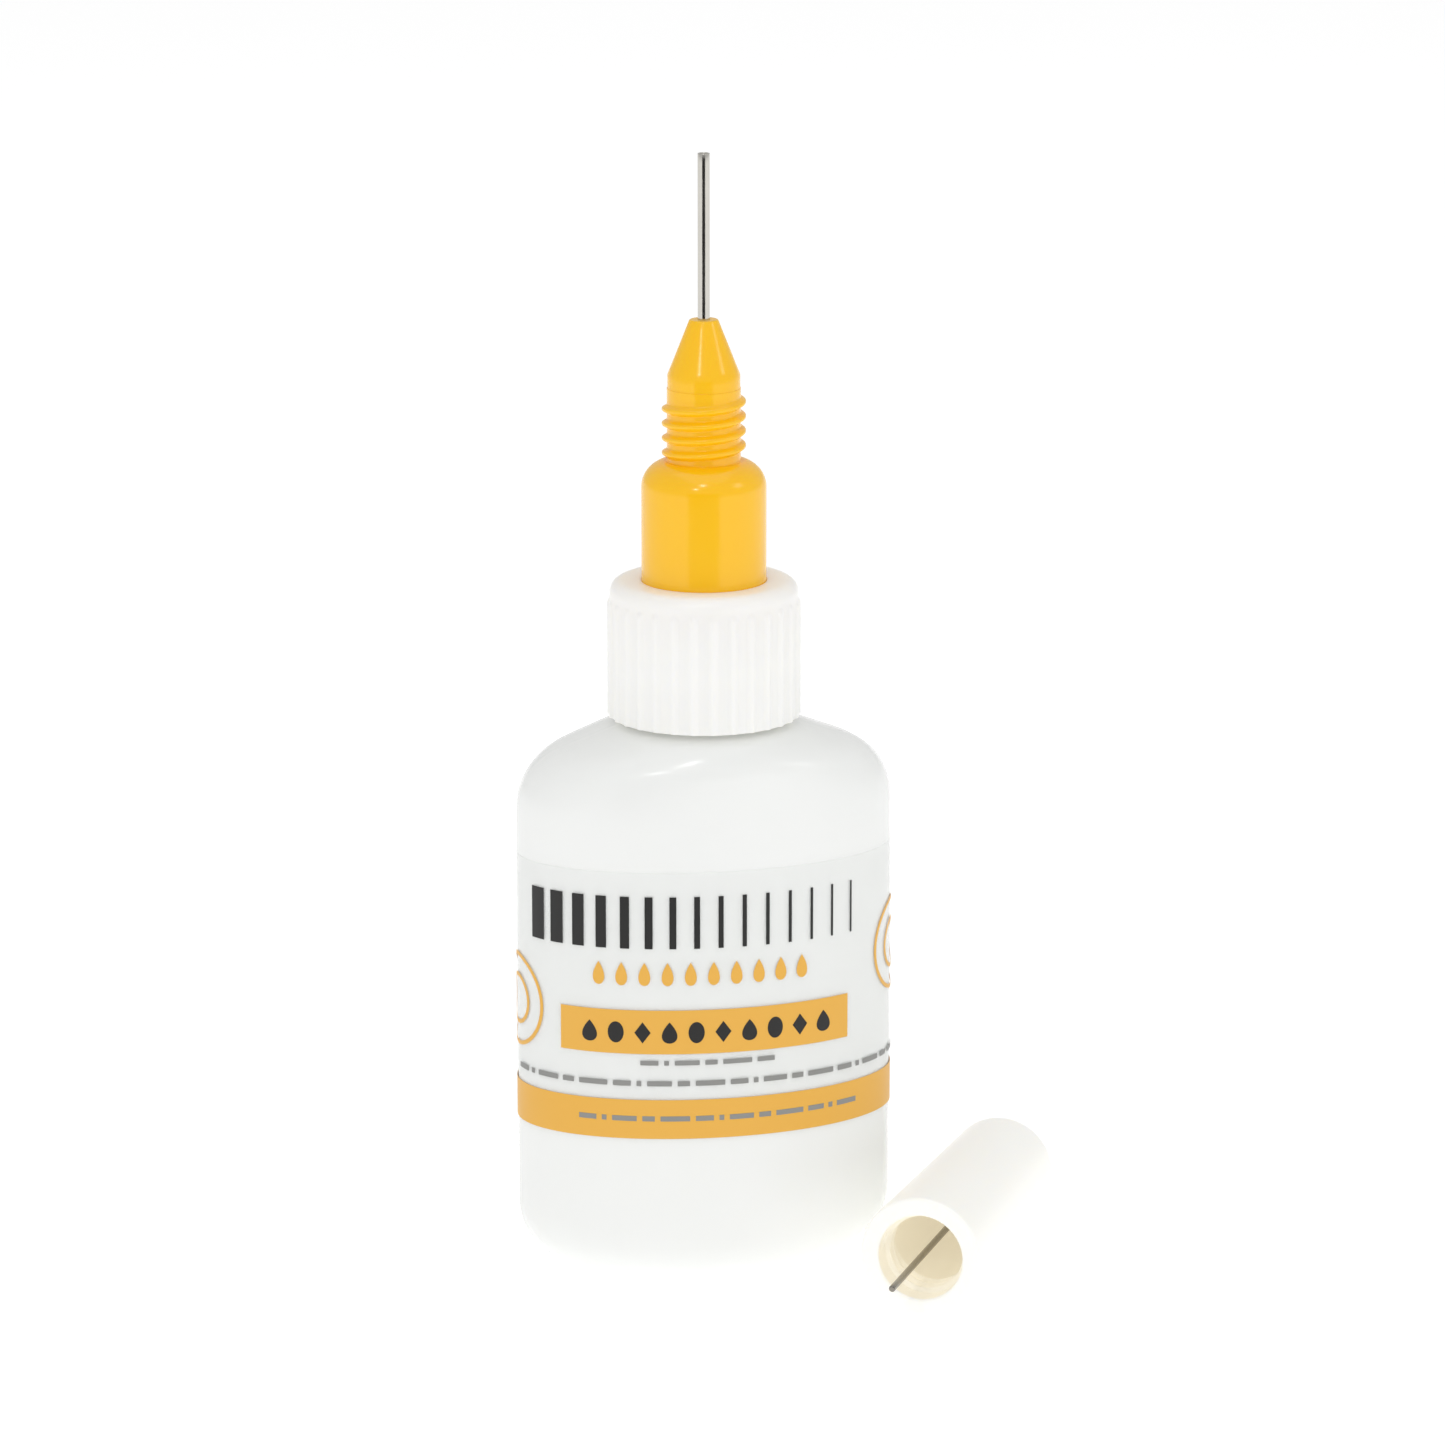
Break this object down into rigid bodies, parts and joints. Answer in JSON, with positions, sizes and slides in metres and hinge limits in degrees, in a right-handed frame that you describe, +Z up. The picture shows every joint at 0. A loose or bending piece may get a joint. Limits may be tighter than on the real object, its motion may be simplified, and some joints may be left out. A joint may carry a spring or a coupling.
{
  "type": "glue applicator bottle",
  "caption": "Oval squeeze bottle with a ribbed screw collar, a threaded yellow dispensing tip with a steel needle, and a loose tapered cap with a cleaning wire lying beside it.",
  "frame": {"origin": "centre of the bottle's flat base, on the surface it stands on", "axes": "+Z up along the bottle, neck and needle; X across the wide side of the oval; the label's front faces -Y"},
  "size_m": [0.0586, 0.0475, 0.1192],
  "materials": {
    "bottle_plastic": "milky translucent LDPE, blow moulded",
    "label_film": "clear printed film with a gold band and bars",
    "gasket_foam": "white closed-cell PE foam",
    "collar_plastic": "warm white moulded polypropylene, satin",
    "tip_plastic": "golden yellow moulded polyethylene, semi-gloss",
    "needle_steel": "drawn stainless steel tube",
    "cap_plastic": "warm white moulded polypropylene, satin",
    "wire_steel": "drawn stainless steel wire"
  },
  "bodies": {
    "bottle": {"bottle": "bottle_plastic", "label": "label_film"},
    "tip": {"tip_body": "tip_plastic", "needle": "needle_steel", "neck_gasket": "gasket_foam"},
    "collar": {"collar": "collar_plastic"},
    "cap": {"cap": "cap_plastic", "cap_wire": "wire_steel"}
  },
  "joints": [
    {"name": "tip_lift", "type": "slide", "parent": "bottle", "child": "tip", "axis": [0, 0, 1], "range_m": [0, 0.00715]},
    {"name": "collar_turn", "type": "hinge", "parent": "tip", "child": "collar", "pos_m": [0, 0, 0.067], "axis": [0, 0, 1], "range_deg": [0, 810]},
    {"name": "cap_lift", "type": "slide", "parent": "bottle", "child": "cap", "axis": [0, 0, 1], "range_m": [0, 0.06]}
  ],
  "couplings": [
    {"joint": "tip_lift", "follows": "collar_turn", "m_per_rad": 0.00050532}
  ]
}
